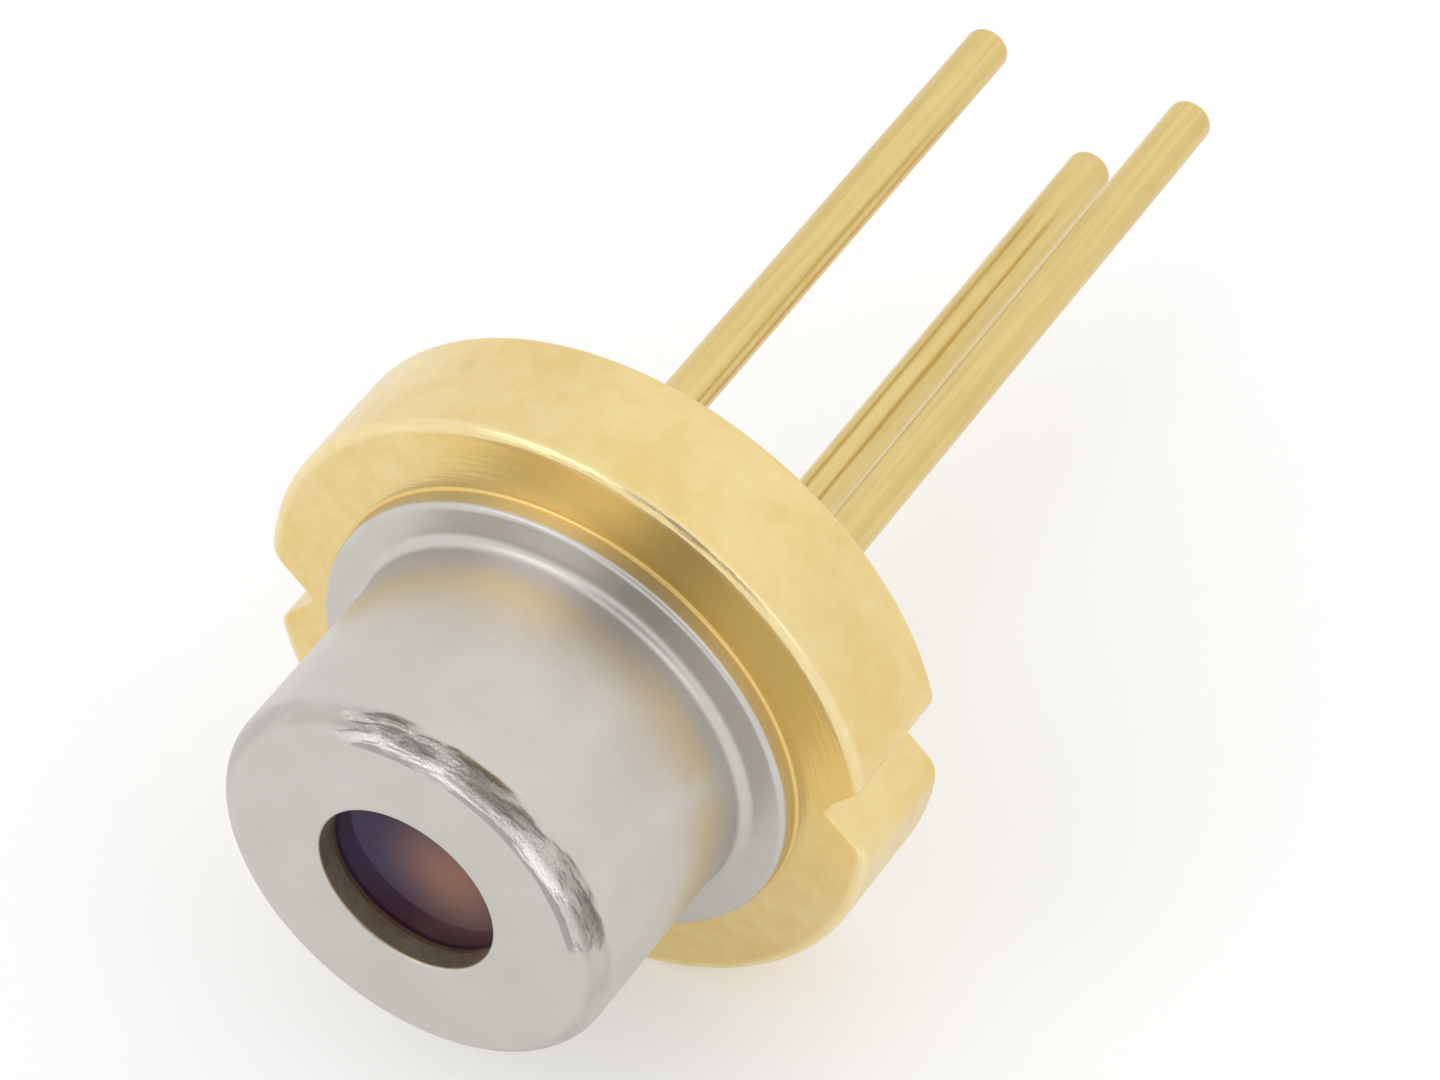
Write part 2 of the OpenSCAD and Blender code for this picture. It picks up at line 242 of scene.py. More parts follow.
class Finish:
    """A node tree that is written from Python."""

    def __init__(self, owner):
        owner.use_nodes = True
        self.owner = owner
        self.tree = owner.node_tree
        self.tree.nodes.clear()

    def add(self, kind, settings=None, sockets=None, output=0):
        """Adds a node of any type: its settings first, then the values or links of its sockets."""
        node = self.tree.nodes.new(kind)
        for name, value in (settings or {}).items():
            setattr(node, name, value)
        for name, value in (sockets or {}).items():
            if isinstance(value, Value):
                self.tree.links.new(value.socket, node.inputs[name])
            else:
                node.inputs[name].default_value = value
        return Value(self, node.outputs[output])

    def place(self):
        """Where a point of the surface is, in millimetres."""
        metres = self.add("ShaderNodeTexCoord", output="Object")
        return self.add("ShaderNodeVectorMath", {"operation": "SCALE"}, {0: metres, "Scale": 1 / MM})

    def stretched(self, vector, stretch):
        """A vector with each of its parts multiplied, to draw a texture out along an axis."""
        return self.add("ShaderNodeVectorMath", {"operation": "MULTIPLY"}, {0: vector, 1: stretch})

    def part(self, vector, axis):
        """One part of a vector as a number: X, Y or Z."""
        return self.add("ShaderNodeSeparateXYZ", sockets={0: vector}, output=axis)

    def round_place(self, place):
        """Where a point is round the can's axis: its radius, height and way round, in millimetres."""
        x, y, z = (self.part(place, axis) for axis in "XYZ")
        radius = (x * x + z * z) ** 0.5
        around = radius * self.add("ShaderNodeMath", {"operation": "ARCTAN2"}, {0: x, 1: z})
        return radius, 0 - y, around

    def gather(self, *numbers):
        """A vector from its parts."""
        return self.add("ShaderNodeCombineXYZ", sockets=dict(enumerate(numbers)))

    def noise(self, vector, scale, detail=3, roughness=0.5):
        """Cloudy noise from 0 to 1, with so many waves in a millimetre."""
        return self.add("ShaderNodeTexNoise", {"noise_dimensions": "3D"},
                        {"Vector": vector, "Scale": scale, "Detail": detail, "Roughness": roughness})

    def step(self, value, low, high):
        """0 below one value and 1 above another, with a soft passage between them."""
        return self.add("ShaderNodeMapRange", {"interpolation_type": "SMOOTHSTEP"},
                        {"Value": value, "From Min": low, "From Max": high})

    def mix(self, factor, first, second):
        """Mixes two colours."""
        return self.add("ShaderNodeMix", {"data_type": "RGBA"}, {0: factor, 6: first, 7: second}, output=2)

    def bump(self, height, depth):
        """A normal from a height from 0 to 1, for a relief of so many millimetres."""
        return self.add("ShaderNodeBump", sockets={"Height": height, "Distance": depth * MM})

    def principled(self, **sockets):
        """The surface itself: a socket's name is written with _ for each space."""
        named = {name.replace("_", " "): value for name, value in sockets.items()}
        shader = self.add("ShaderNodeBsdfPrincipled", sockets=named)
        self.add_output(shader)
        return self.owner

    def add_output(self, shader, kind="ShaderNodeOutputMaterial"):
        """Ends the tree in the output node of a material or of the world."""
        output = self.tree.nodes.new(kind)
        self.tree.links.new(shader.socket, output.inputs["Surface"])

    def ray(self, kind):
        """1 for rays of one kind, 0 for the rest."""
        return self.add("ShaderNodeLightPath", output=f"Is {kind} Ray")

    def seen(self):
        """1 or more where the camera looks, directly, in metal or through glass."""
        return self.ray("Camera") + self.ray("Glossy") + self.ray("Transmission")


def new_finish(name):
    return Finish(bpy.data.materials.new(name))


def colour(red, green, blue):
    return (red, green, blue, 1)


print("a colour is red, green, blue and alpha:", colour(0.9, 0.8, 0.5))

# %% [markdown]
# ## The camera
#
# A product picture of a part as small as a match head is taken from well back with a long lens, so its lines
# stay nearly parallel. The camera looks down at the can from its right, turned a little
# about its own axis. Blender clips what is nearer than 0.1 m by default, and the whole scene is nearer.

# %% Set up the camera
AIM = laid_down(0.8, 1.18, -1.18)
CAMERA_DISTANCE = 0.055
CAMERA_AZIMUTH = math.radians(34.07)
CAMERA_ELEVATION = math.radians(44.59)
CAMERA_ROLL = math.radians(-3.76)
FOCAL_LENGTH_MM = 175
SENSOR_WIDTH_MM = 36
NEAREST, FARTHEST = 0.001, 10

camera_data = bpy.data.cameras.new("camera")
camera_data.lens = FOCAL_LENGTH_MM
camera_data.sensor_width = SENSOR_WIDTH_MM
camera_data.clip_start = NEAREST
camera_data.clip_end = FARTHEST
camera = bpy.data.objects.new("camera", camera_data)
bpy.context.scene.collection.objects.link(camera)
turn = Matrix.Rotation(CAMERA_AZIMUTH, 4, "Z") @ Matrix.Rotation(math.pi / 2 - CAMERA_ELEVATION, 4, "X")
roll = Matrix.Rotation(CAMERA_ROLL, 4, "Z")
camera.matrix_world = Matrix.Translation(AIM) @ turn @ roll @ Matrix.Translation((0, 0, CAMERA_DISTANCE))
bpy.context.scene.camera = camera
bpy.context.scene.view_settings.view_transform = "Standard"
print("the camera stands at", [round(x / MM, 2) for x in camera.matrix_world.translation], "mm")

# %% [markdown]
# ## Gold plate
#
# The stem is steel with a few micrometres of gold on nickel. The plating follows the etched steel under it,
# so the metal is satin and not mirror bright, and its tone drifts from pale straw to a deeper yellow. A few
# faint stains lie where rinse water dried. The front face keeps fine turned lines, and one side of it is
# painted a richer yellow as a painted reflection. Handling has nicked its edge, and the brighter gold
# painted on the nicking is a painted highlight. What changes the tone goes into the colour and the
# roughness, and the grain, the lines and the nicking are one shallow bump. The leads are drawn, so their
# lines run along them.

# %% Gold finishes
PALE_GOLD = colour(0.84, 0.67, 0.33)
DEEP_GOLD = colour(0.78, 0.58, 0.23)
STAIN = colour(0.62, 0.44, 0.17)
# painted reflection: the richer gold on one side of the front face
PAINTED_REFLECTION_GOLD = colour(0.84, 0.58, 0.18)
# painted highlight: the brighter gold on the nicked edge
NICKED_EDGE_HIGHLIGHT_GOLD = colour(0.93, 0.80, 0.48)
PLATE_RELIEF = 0.012


def stem_gold():
    finish = new_finish("satin gold plate")
    place = finish.place()
    drift = finish.noise(place, 0.9, detail=2)
    cloud = finish.noise(place, 5, detail=5, roughness=0.6)
    grain = finish.noise(place, 60, detail=4, roughness=0.7)
    spots = finish.add("ShaderNodeTexVoronoi", {"feature": "F1"},
                       {"Vector": place, "Scale": 1.1, "Randomness": 1.0}, output="Distance")
    stains = (1 - finish.step(spots + 0.2 * cloud, 0.1, 0.24)) * 0.35
    gold = finish.mix(finish.step(drift * 0.6 + cloud * 0.4, 0.35, 0.68), PALE_GOLD, DEEP_GOLD)
    gold = finish.mix(stains, gold, STAIN)

    radius, height, around = finish.round_place(place)
    face = finish.step(height, -0.02, -0.002)
    # painted reflection: the side of the front face that upper_side picks is coloured a richer, deeper gold
    upper_side = finish.part(place, "X") * 0.65 + finish.part(place, "Z") * 0.75
    gold = finish.mix(face * finish.step(upper_side, 0.6, 2.1), gold, PAINTED_REFLECTION_GOLD)
    turned = finish.noise(finish.gather(around * 0.35, radius * 7), 3, detail=4, roughness=0.6)
    # the nicked edge: real wear in the bump, and a painted highlight where its colour turns a brighter gold
    edge = finish.step(radius, 2.68, 2.74) * finish.step(height, -0.09, -0.04)
    nicks_and_glints = finish.noise(finish.gather(around * 2.5, (radius - height) * 12), 1.5, detail=3)
    relief = grain * 0.08 + cloud * 0.05 + turned * face * 0.3 + nicks_and_glints * edge * 0.6
    return finish.principled(
        Base_Color=finish.mix(edge * nicks_and_glints, gold, NICKED_EDGE_HIGHLIGHT_GOLD), Metallic=1.0,
        Roughness=0.2 + 0.12 * cloud + 0.15 * stains - 0.1 * edge,
        Normal=finish.bump(relief, PLATE_RELIEF))


def drawn_gold(name, pale, deep, roughness):
    """Gold on drawn wire: fine lines run along the lead."""
    finish = new_finish(name)
    place = finish.place()
    along = finish.stretched(place, (11, 0.3, 11))
    lines = finish.noise(along, 1.6, detail=4)
    cloud = finish.noise(place, 3, detail=3)
    return finish.principled(
        Base_Color=finish.mix(finish.step(cloud * 0.25 + lines * 0.75, 0.38, 0.62), pale, deep),
        Metallic=1.0, Roughness=roughness + 0.1 * lines, Normal=finish.bump(lines, 0.003))


gold_plate = stem_gold()
lead_gold = drawn_gold("drawn gold", colour(0.74, 0.575, 0.25), colour(0.68, 0.515, 0.2), 0.2)
block_gold = drawn_gold("matt gold", colour(0.88, 0.68, 0.34), colour(0.80, 0.57, 0.24), 0.42)
wire_gold = drawn_gold("bond wire gold", colour(0.92, 0.72, 0.28), colour(0.86, 0.64, 0.2), 0.2)
print("gold finishes:", [m.name for m in (gold_plate, lead_gold, block_gold, wire_gold)])

# %% [markdown]
# ## Nickel plate
#
# The cap is drawn from sheet and nickel plated. Drawing stretches the metal over the nose, which folds it
# into small facets that catch the light. They are a bump masked to the nose by height and radius, and
# strongest on one side, where strips between the folds are painted a bright nickel: a painted highlight.
# The shoulder below them is painted dark all round, darkest on that side and along the folds: painted shade.
# The aperture's bore is tinted brown, and the weld shows the stem's gold.

# %% The cap's finish
_, cap_top = heights("cap")
NOSE_RADIUS = 0.24
BODY_RADIUS = 1.775
APERTURE = 0.8
NOSE_RELIEF = 0.09


def cap_nickel():
    finish = new_finish("satin nickel plate")
    place = finish.place()
    radius, height, around = finish.round_place(place)
    nose = (finish.step(height, cap_top - 0.9 * NOSE_RADIUS, cap_top - 0.3 * NOSE_RADIUS)
            * finish.step(radius, BODY_RADIUS - 1.2 * NOSE_RADIUS, BODY_RADIUS - 0.8 * NOSE_RADIUS))
    cloud = finish.noise(place, 2.5, detail=4)
    grain = finish.noise(place, 45, detail=4, roughness=0.7)
    across = height - radius + around * 0.1
    folds = finish.step(finish.noise(finish.gather(around, across * 3), 1.6, detail=2), 0.38, 0.6)
    sparkle = finish.noise(finish.gather(around * 5, across * 8), 1.7, detail=3, roughness=0.6)
    upper_side = (finish.part(place, "X") * 0.55 + finish.part(place, "Z") * 0.83) * radius ** -1
    reach = finish.step(upper_side + 0.3 * finish.noise(place, 1.5), 0.66, 1.04)
    shoulder = (finish.step(radius, BODY_RADIUS - 0.16, BODY_RADIUS - 0.09)
                * finish.step(height, cap_top - 0.9 * NOSE_RADIUS, cap_top - 0.6 * NOSE_RADIUS))
    # painted shade: the shoulder is painted dark all round, darker along the folds and on the side that
    # reach picks
    dull = shoulder * (0.12 + 0.12 * folds + reach * (0.1 + 0.6 * folds))
    # painted highlight: bright strips between the folds on one side of the nose
    nose_highlight = nose * (1 - shoulder) * (1 - folds) * reach
    bore = 1 - finish.step(radius, APERTURE + 0.002, APERTURE + 0.01)
    weld = 1 - finish.step(height, 0.02, 0.05)

    nickel = finish.mix(cloud, colour(0.63, 0.605, 0.57), colour(0.56, 0.535, 0.50))
    # painted shade on the shoulder
    nickel = finish.mix(dull, nickel, colour(0.22, 0.205, 0.18))
    # painted highlight on the nose
    nickel = finish.mix(nose_highlight, nickel, colour(0.92, 0.90, 0.87))
    nickel = finish.mix(bore, nickel, finish.mix(sparkle, colour(0.34, 0.28, 0.19), colour(0.75, 0.66, 0.5)))
    nickel = finish.mix(weld, nickel, DEEP_GOLD)
    relief = grain * 0.014 + nose * (0.08 + 0.92 * reach) * (folds * 0.8 + sparkle * 0.5)
    return finish.principled(
        Base_Color=nickel, Metallic=1.0, Roughness=0.3 + 0.08 * cloud - 0.17 * nose * reach + 0.15 * bore,
        Normal=finish.bump(relief, NOSE_RELIEF))


nickel_plate = cap_nickel()
print("the cap's finish has", len(nickel_plate.node_tree.nodes), "nodes")


# %% [markdown]
# ## Glass, ceramic, solder and crystal
#
# The other materials are plain, so one function makes them all from two tones, a roughness and a fine
# relief. Only the window has its own: the coating lets some light through, and a painted copper tone stands
# for the gold block that glows behind it, since so little light reaches the inside.

# %% Glass, ceramic, solder and crystal
def mottled(name, first, second, roughness, waves, depth, **constants):
    """A plain finish with a drifting tone and a fine relief."""
    finish = new_finish(name)
    place = finish.place()
    cloud = finish.noise(place, waves, detail=4)
    return finish.principled(
        Base_Color=finish.mix(cloud, first, second), Roughness=roughness + 0.1 * cloud,
        Normal=finish.bump(cloud, depth), **constants)


GLOW_X, GLOW_Z = 0.3, 0.1


def window_coating():
    """Glass with a violet coating: it shows the inside of the can through a plum tint."""
    finish = new_finish("violet coated glass")
    place = finish.place()
    cloud = finish.noise(place, 1.3, detail=2)
    x, z = finish.part(place, "X"), finish.part(place, "Z")
    glow = 1 - finish.step(((x - GLOW_X) ** 2 + (z - GLOW_Z) ** 2) ** 0.5 + 0.15 * cloud, 0.1, 0.85)
    low = 1 - finish.step(z - 0.3 * x, -0.7, 0.1)
    coating = finish.mix(low, colour(0.035, 0.02, 0.075), colour(0.05, 0.012, 0.03))
    return finish.principled(
        Base_Color=finish.mix(glow, coating, colour(0.37, 0.17, 0.115)),
        Roughness=0.04 + 0.03 * cloud, Alpha=0.72 + 0.1 * cloud, IOR=1.52, Specular_IOR_Level=0.25)


bead_glass = mottled("fired bead glass", colour(0.05, 0.07, 0.08), colour(0.09, 0.11, 0.12), 0.12, 6, 0.002)
seal_glass = mottled("fired window seal", colour(0.10, 0.06, 0.035), colour(0.16, 0.10, 0.06), 0.2, 6, 0.002)
coated_glass = window_coating()
solder = mottled("dull solder", colour(0.55, 0.55, 0.53), colour(0.7, 0.69, 0.66), 0.4, 9, 0.003,
                 Metallic=1.0)
ceramic = mottled("submount ceramic", colour(0.72, 0.69, 0.62), colour(0.82, 0.79, 0.72), 0.55, 12, 0.002)
crystal = mottled("cleaved crystal", colour(0.10, 0.09, 0.12), colour(0.16, 0.15, 0.19), 0.18, 8, 0.0005)
silicon = mottled("coated silicon", colour(0.03, 0.05, 0.13), colour(0.05, 0.07, 0.2), 0.12, 8, 0.0005)
print("there are", len(bpy.data.materials), "finishes now")

# %% [markdown]
# ## The stem
#
# The stem is a disc with rolled edges, two V notches and a key notch. Each loop of its rim is the same walk:
# round the rim, down one wall of a notch, along its floor and up again. Only the rim's radius and the walls'
# places change from loop to loop, so all the loops have the same number of points and join as quads. Near
# the faces the radius shrinks along a quarter circle, and the notch walls draw back to a fine soft edge.
# Last, each point moves to the mean of its neighbours, which rounds the corners where a notch meets the rim
# and leaves the long arcs all but unchanged.

# %% The walk round the rim
stem_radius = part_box("stem")[1].z / MM
stem_bottom, _ = heights("stem")
NOTCH_DEPTH = 0.4
KEY_HALF_WIDTH = 0.5
V_HALF_ANGLE = math.radians(45)
V_ROOT_RADIUS = 0.05
EDGE_RADIUS = 0.08
NOTCH_EDGE_RADIUS = 0.02
ROOT_STEPS = 3
WALL_STEPS = 20
FLOOR_STEPS = 25
RIM_STEPS_PER_DEGREE = 2.2
SOFT_REACH = 3
SOFT_ROUNDS = 2


def v_notch_half(radius, draw_back):
    """Half of a V notch, from its root to the rim: (outward, sideways) points."""
    root = V_ROOT_RADIUS + draw_back
    centre = stem_radius - NOTCH_DEPTH + V_ROOT_RADIUS
    start = (centre - root * math.cos(V_HALF_ANGLE), root * math.sin(V_HALF_ANGLE))
    bend = [(centre - root * math.cos(V_HALF_ANGLE * i / ROOT_STEPS),
             root * math.sin(V_HALF_ANGLE * i / ROOT_STEPS)) for i in range(ROOT_STEPS)]
    # the wall leaves the root along a line, and meets the rim where its radius is the rim's
    across, rise = math.cos(V_HALF_ANGLE), math.sin(V_HALF_ANGLE)
    half_b = start[0] * across + start[1] * rise
    reach = -half_b + math.sqrt(half_b ** 2 - start[0] ** 2 - start[1] ** 2 + radius ** 2)
    wall = [(start[0] + across * reach * i / WALL_STEPS, start[1] + rise * reach * i / WALL_STEPS)
            for i in range(WALL_STEPS + 1)]
    return bend + wall


def key_notch_half(radius, draw_back):
    """Half of the key notch, from the middle of its floor to the rim."""
    floor = stem_radius - NOTCH_DEPTH - draw_back
    side = KEY_HALF_WIDTH + draw_back
    rim = math.sqrt(radius ** 2 - side ** 2)
    across = [(floor, side * i / FLOOR_STEPS) for i in range(FLOOR_STEPS)]
    return across + [(floor + (rim - floor) * i / WALL_STEPS, side) for i in range(WALL_STEPS + 1)]


def turned(points, degrees):
    """Notch points turned from the +X direction to a place on the rim."""
    cos, sin = math.cos(math.radians(degrees)), math.sin(math.radians(degrees))
    return [(u * cos - v * sin, u * sin + v * cos) for u, v in points]


def softened(walk):
    """The same walk with its corners rounded: each point becomes the mean of its neighbours."""
    count = len(walk)
    window = range(-SOFT_REACH, SOFT_REACH + 1)
    for _ in range(SOFT_ROUNDS):
        walk = [tuple(sum(walk[(i + k) % count][axis] for k in window) / len(window) for axis in (0, 1))
                for i in range(count)]
    return walk


NOTCHES = [(-90, key_notch_half), (0, v_notch_half), (180, v_notch_half)]


def rim_walk(radius, draw_back):
    """One full loop round the stem, counterclockwise."""
    walk = []
    for index, (degrees, half) in enumerate(NOTCHES):
        side = half(radius, draw_back)
        mirrored = [(u, -v) for u, v in side[:0:-1]]
        walk += turned(mirrored + side, degrees)
        following = NOTCHES[(index + 1) % len(NOTCHES)]
        leave = degrees + math.degrees(math.atan2(side[-1][1], side[-1][0]))
        next_side = following[1](radius, draw_back)[-1]
        arrive = following[0] - math.degrees(math.atan2(next_side[1], next_side[0]))
        steps = round((following[0] - degrees) % 360 * RIM_STEPS_PER_DEGREE)
        walk += arc((0, 0), radius, leave, arrive + 360 * (arrive < leave), steps)[1:-1]
    return softened(walk)


print("a walk round the rim has", len(rim_walk(stem_radius, 0)), "points")

# %% [markdown]
# Behind the rim, the stem is a plate with a groove that the cap's weld sinks into, two bores for the glass
# beads, a slanted pocket for the monitor chip and a shallow cone for the case lead's weld. Each hole is a
# loop in one flat face, joined to the loop at its other end.

# %% Build the stem
STEM_AROUND = 96
EDGE_LOOPS = 10
GROOVE_RADII = (1.89, 2.18)
GROOVE_DEPTH = 0.02
BEAD_RADIUS = 0.45
LEAD_CIRCLE = 1.0
FOOT_RADIUS = 0.32
LEAD_RADIUS = 0.2
POCKET_START = -0.27
POCKET_SIDE = 0.7
POCKET_TILT = math.radians(12)


def rounding(radius, depth):
    """How far a rounded edge has drawn in at a depth below the face."""
    if depth >= radius:
        return 0
    return radius - math.sqrt(radius ** 2 - (radius - depth) ** 2)


def edge_depths():
    """Depths below a face, close together where the edge curves most."""
    return [EDGE_RADIUS * (i / EDGE_LOOPS) ** 2 for i in range(EDGE_LOOPS + 1)] + [EDGE_RADIUS + SUPPORT_GAP]


def build_stem():
    shell = Shell(STEM_AROUND)
    loops = [(depth, -depth) for depth in edge_depths()]
    loops += [(depth, stem_bottom + depth) for depth in reversed(edge_depths())]
    rims = [shell.loop(rim_walk(stem_radius - rounding(EDGE_RADIUS, depth),
                                rounding(NOTCH_EDGE_RADIUS, depth)), height) for depth, height in loops]
    shell.chain(rims)
    inset = rim_walk(stem_radius - EDGE_RADIUS - SUPPORT_GAP, NOTCH_EDGE_RADIUS + SUPPORT_GAP)
    front, back = shell.loop(inset, 0), shell.loop(inset, stem_bottom)
    shell.bridge(rims[0], front)
    shell.bridge(rims[-1], back)

    inner, outer = GROOVE_RADII
    groove = [shell.ring(outer, 0), shell.ring(outer, -GROOVE_DEPTH),
              shell.ring(inner, -GROOVE_DEPTH), shell.ring(inner, 0)]
    shell.chain(groove)
    bores = [[shell.ring(BEAD_RADIUS, height, (side * LEAD_CIRCLE, 0)) for height in (0, stem_bottom)]
             for side in (-1, 1)]
    for top, bottom in bores:
        shell.bridge(top, bottom)

    half = POCKET_SIDE / 2
    drop = POCKET_SIDE * math.sin(POCKET_TILT)
    floor_end = POCKET_START + POCKET_SIDE * math.cos(POCKET_TILT)
    mouth_end = floor_end + drop * math.tan(POCKET_TILT)
    mouth = shell.loop([(-half, POCKET_START), (half, POCKET_START),
                        (half, mouth_end), (-half, mouth_end)], 0)
    low = shell.loop([(half, floor_end), (-half, floor_end)], -drop)
    for corners in ([mouth[0], mouth[1], low[0], low[1]], [mouth[1], mouth[2], low[0]],
                    [mouth[2], mouth[3], low[1], low[0]], [mouth[3], mouth[0], low[1]]):
        shell.mesh.faces.new(corners)

    foot = (0, -LEAD_CIRCLE)
    recess_top = stem_bottom + GROOVE_DEPTH
    recess = [shell.ring(FOOT_RADIUS, stem_bottom, foot), shell.ring(LEAD_RADIUS, recess_top, foot),
              shell.ring(0, recess_top, foot)]
    shell.chain(recess)
    shell.fill(front, groove[0])
    shell.fill(groove[-1], bores[0][0], bores[1][0], mouth)
    shell.fill(back, bores[0][1], bores[1][1], recess[0])
    shell.finish("gold_stem", "stem_gold", gold_plate, "stem")


build_stem()

# %% [markdown]
# ## The cap
#
# The cap is one drawn shell: a flange that is welded to the stem, a straight body, a rolled nose and a front
# with a round aperture. Its whole section is one closed profile.

# %% Build the cap
CAP_AROUND = 256
NOSE_STEPS = 14
FLANGE_RADIUS = 2.15
FLANGE_TOP = 0.19
FLANGE_BOTTOM = 0.04
FLANGE_EDGE = 0.05
FILLET = 0.1
WELD_INNER, WELD_OUTER = GROOVE_RADII
WELD_BEAD = 0.03
CAP_WALL = 0.15
CAP_FRONT = 0.2
APERTURE_EDGE = 0.03


def build_cap():
    bore = BODY_RADIUS - CAP_WALL
    inside_top = cap_top - CAP_FRONT
    inner_nose = NOSE_RADIUS - CAP_WALL
    profile = [(WELD_INNER, -GROOVE_DEPTH), (WELD_OUTER, -GROOVE_DEPTH)]
    profile += arc((WELD_OUTER, WELD_BEAD), WELD_BEAD, 270, 180)
    profile += arc((FLANGE_RADIUS - FLANGE_EDGE, FLANGE_TOP - FLANGE_EDGE), FLANGE_EDGE, 0, 90)
    profile += arc((BODY_RADIUS + FILLET, FLANGE_TOP + FILLET), FILLET, 270, 180)
    profile += arc((BODY_RADIUS - NOSE_RADIUS, cap_top - NOSE_RADIUS), NOSE_RADIUS, 0, 90, NOSE_STEPS)
    profile += arc((APERTURE + APERTURE_EDGE, cap_top - APERTURE_EDGE), APERTURE_EDGE, 90, 180)
    profile += [(APERTURE, inside_top)]
    profile += arc((bore - inner_nose, inside_top - inner_nose), inner_nose, 90, 0)
    profile += [(bore, FLANGE_BOTTOM), (WELD_INNER, FLANGE_BOTTOM)]
    shell = Shell(CAP_AROUND)
    shell.lathe(profile, closed=True)
    shell.finish("nickel_cap", "cap_nickel", nickel_plate, "cap")


build_cap()

# %% [markdown]
# ## The window
#
# A glass disc is fused into the cap from inside with a film of brown sealing glass, which has run to a
# hollow fillet round the disc's edge.

# %% Build the window and its seal
WINDOW_EDGE = 0.02
glass_radius = half_width("window_glass")
glass_bottom, glass_top = heights("window_glass")
seal_bottom, seal_top = heights("window_seal")
SEAL_FILLET = half_width("window_seal") - glass_radius


def build_window():
    shell = Shell()
    shell.lathe([(0, glass_top), (glass_radius - WINDOW_EDGE, glass_top),
                 (glass_radius, glass_top - WINDOW_EDGE), (glass_radius, glass_bottom + WINDOW_EDGE),
                 (glass_radius - WINDOW_EDGE, glass_bottom), (0, glass_bottom)])
    shell.finish("window_disc", "window_coated_glass", coated_glass, "window_glass")


def build_window_seal():
    shell = Shell()
    corner = (glass_radius + SEAL_FILLET, seal_top - SEAL_FILLET)
    shell.lathe([(APERTURE, glass_top), (glass_radius, glass_top)] + arc(corner, SEAL_FILLET, 180, 90)
                + [(APERTURE, seal_top)], closed=True)
    shell.finish("window_seal_ring", "window_seal_glass", seal_glass, "window_seal")


build_window()
build_window_seal()

# %% [markdown]
# ## The leads and their glass beads
#
# Each lead is drawn wire with a slightly rounded cut end. Two pass through the stem in glass beads, whose
# faces sag between lead and bore as the glass wetted both. The laser's lead has a flat coined on its post
# for the bond wire, and the case lead starts in a small weld foot.

# %% Build the leads
LEAD_AROUND = 64
BEAD_AROUND = 96
TIP_RADIUS = 0.09
POST_FLAT = 0.06
POST_FLAT_LENGTH = 0.5
STEP = 0.002
BEAD_SAG = 0.05


def lead_tip(bottom):
    """Profile of a lead's rounded cut end, which lies lowest when the can stands upright."""
    return arc((LEAD_RADIUS - TIP_RADIUS, bottom + TIP_RADIUS), TIP_RADIUS, 0, -90) + [(0, bottom)]


def build_sealed_lead(name, node, across):
    bottom, top = heights(node)
    flat_end = top - POST_FLAT_LENGTH
    shell = Shell(LEAD_AROUND)
    shell.lathe([(0, top), (LEAD_RADIUS, top), (LEAD_RADIUS, flat_end + STEP), (LEAD_RADIUS, flat_end)]
                + lead_tip(bottom), (across, 0))
    if node == "lead_laser":
        for vertex in shell.mesh.verts:
            height, side = -vertex.co.y / MM, vertex.co.z / MM
            if height > flat_end + STEP / 2 and side > POST_FLAT:
                vertex.co.z = POST_FLAT * MM
    shell.finish(name, "lead_gold", lead_gold, node)


def build_case_lead():
    bottom, _ = heights("lead_case")
    shell = Shell(LEAD_AROUND)
    recess_top = stem_bottom + GROOVE_DEPTH
    foot = [(0, recess_top), (LEAD_RADIUS, recess_top), (FOOT_RADIUS, stem_bottom)]
    spread = FOOT_RADIUS - LEAD_RADIUS
    fillet = arc((FOOT_RADIUS, stem_bottom - spread), spread, 90, 180)
    shell.lathe(foot + fillet[1:] + lead_tip(bottom), (0, -LEAD_CIRCLE))
    shell.finish("case_lead", "lead_gold", lead_gold, "lead_case")


def build_bead(name, node, across):
    gap = (BEAD_RADIUS - LEAD_RADIUS) / 2
    sag = (gap ** 2 + BEAD_SAG ** 2) / (2 * BEAD_SAG)
    spread = math.degrees(math.asin(gap / sag))
    middle = LEAD_RADIUS + gap
    front = arc((middle, sag - BEAD_SAG), sag, -90 - spread, -90 + spread)
    back = arc((middle, stem_bottom - sag + BEAD_SAG), sag, 90 - spread, 90 + spread)
    shell = Shell(BEAD_AROUND)
    shell.lathe(front + back, (across, 0), closed=True)
    shell.finish(name, "bead_glass", bead_glass, node)


build_sealed_lead("laser_lead", "lead_laser", -LEAD_CIRCLE)
build_sealed_lead("monitor_lead", "lead_monitor", LEAD_CIRCLE)
build_case_lead()
build_bead("laser_bead", "glass_seal_laser", -LEAD_CIRCLE)
build_bead("monitor_bead", "glass_seal_monitor", LEAD_CIRCLE)

# %% [markdown]
# ## Inside the can
#
# The block, the submount and the chips are flat-sided, so their CAD meshes are already right. They only
# take a finish. They show dimly through the window.

# %% Finish the inner pieces
INNER_FINISHES = {
    "heat_sink_block": block_gold, "submount_solder": solder, "submount": ceramic, "laser_chip": crystal,
    "photodiode_solder": solder, "photodiode": silicon, "wire_laser": wire_gold, "wire_ground": wire_gold,
    "wire_monitor": wire_gold,
}
for node, material in INNER_FINISHES.items():
    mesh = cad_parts[node].data
    mesh.materials.clear()
    mesh.materials.append(material)
print(len(INNER_FINISHES), "inner pieces have their finish")

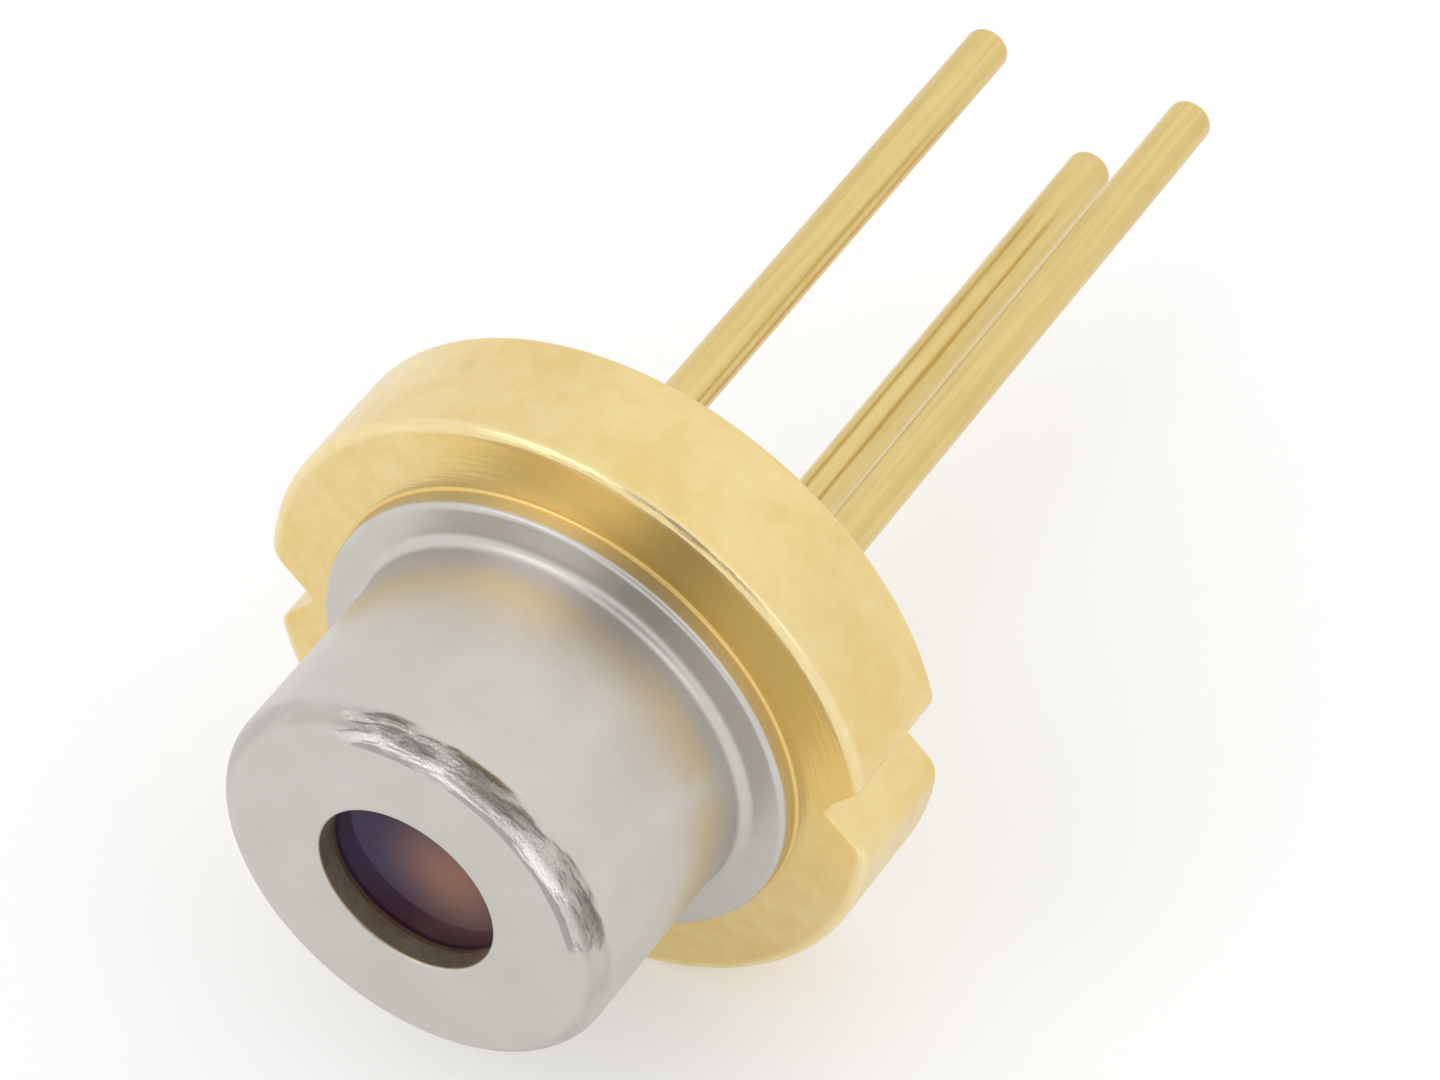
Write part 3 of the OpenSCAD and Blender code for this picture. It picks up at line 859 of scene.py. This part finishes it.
# %% [markdown]
# ## The studio
#
# Polished metal shows its surroundings, so a small metal part is lit by large pale surfaces. The world is a
# white surround that the camera, the metal and the glass see at full white, and the soft light comes from
# it and from three large lamps. One side of it is dimmer in reflections, which gives the gold and the nickel
# a darker tone to stand out by. The floor shows white too, and keeps the can's shadow.

# %% Floor and surround
FLOOR_SIZE = 0.6
AMBIENT = 0.8
DIM_SIDE = Vector((0.39, -0.59, 0.71))
DIMMING = 0.6
DIM_REACH = (0.86, 0.985)
FLOOR_GREY = 0.8
FLOOR_GLOW = 0.3


def pale_floor():
    finish = new_finish("pale floor")
    paper = finish.add("ShaderNodeBsdfDiffuse", sockets={"Color": colour(*[FLOOR_GREY] * 3)})
    glow = finish.add("ShaderNodeEmission",
                      sockets={"Color": colour(1, 1, 1), "Strength": finish.seen() * FLOOR_GLOW})
    finish.add_output(finish.add("ShaderNodeAddShader", sockets={0: paper, 1: glow}))
    return finish.owner


def build_floor():
    shell = bmesh.new()
    bmesh.ops.create_grid(shell, x_segments=1, y_segments=1, size=FLOOR_SIZE / 2)
    mesh = bpy.data.meshes.new("floor")
    shell.to_mesh(mesh)
    shell.free()
    floor = bpy.data.objects.new("floor", mesh)
    floor.location = (0, 0, cad_low.z)
    bpy.context.scene.collection.objects.link(floor)
    mesh.materials.append(pale_floor())
    floor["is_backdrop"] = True


build_floor()


def build_surround():
    world = bpy.data.worlds.new("surround")
    bpy.context.scene.world = world
    surround = Finish(world)
    towards = surround.add("ShaderNodeTexCoord", output="Generated")
    facing = surround.add("ShaderNodeVectorMath", {"operation": "DOT_PRODUCT"},
                          {0: towards, 1: DIM_SIDE}, output="Value")
    dim = surround.step(facing, *DIM_REACH) * surround.ray("Glossy")
    strength = AMBIENT + (1 - AMBIENT) * surround.step(surround.seen(), 0, 1) - DIMMING * dim
    background = surround.add("ShaderNodeBackground",
                              sockets={"Color": colour(1, 1, 1), "Strength": strength})
    surround.add_output(background, "ShaderNodeOutputWorld")


build_surround()
print("the floor lies at", round(cad_low.z / MM, 3), "mm")


# %% [markdown]
# ## The lamps
#
# Three soft lamps give the metal its direction: a key in front, a weaker fill on the right and a broad one
# behind. Each is placed by its direction from the can, which is easier to think about than coordinates.

# %% Lamps
def add_lamp(name, azimuth, elevation, size, power):
    """A square lamp that faces the can from a direction in degrees. Size is in metres, power in watts."""
    data = bpy.data.lights.new(name, "AREA")
    data.size = size
    data.energy = power
    lamp = bpy.data.objects.new(name, data)
    turn = (Matrix.Rotation(math.radians(azimuth), 4, "Z")
            @ Matrix.Rotation(math.radians(90 - elevation), 4, "X"))
    lamp.matrix_world = turn @ Matrix.Translation((0, 0, LAMP_DISTANCE))
    bpy.context.scene.collection.objects.link(lamp)


LAMP_DISTANCE = 0.25
LAMPS = {
    "key lamp": (-35, 50, 0.16, 0.06), "fill lamp": (80, 35, 0.16, 0.03), "back lamp": (160, 50, 0.3, 0.02),
}
for lamp_name, lamp_settings in LAMPS.items():
    add_lamp(lamp_name, *lamp_settings)
print("lamps:", list(LAMPS))

# %% [markdown]
# ## Keep the size
#
# The dressed model is meant to keep the CAD model's size, so both boxes are set side by side and the
# difference between them is printed. The dressed model has to stay inside the CAD model's box.

# %% Set both boxes side by side
size = {"cad": [list(cad_low), list(cad_high)], "visual": [list(corner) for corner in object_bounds()]}
print("visual minus CAD box, in mm:", [round((b - a) / MM, 4) for pair in zip(size["cad"], size["visual"])
                                       for a, b in zip(*pair)])
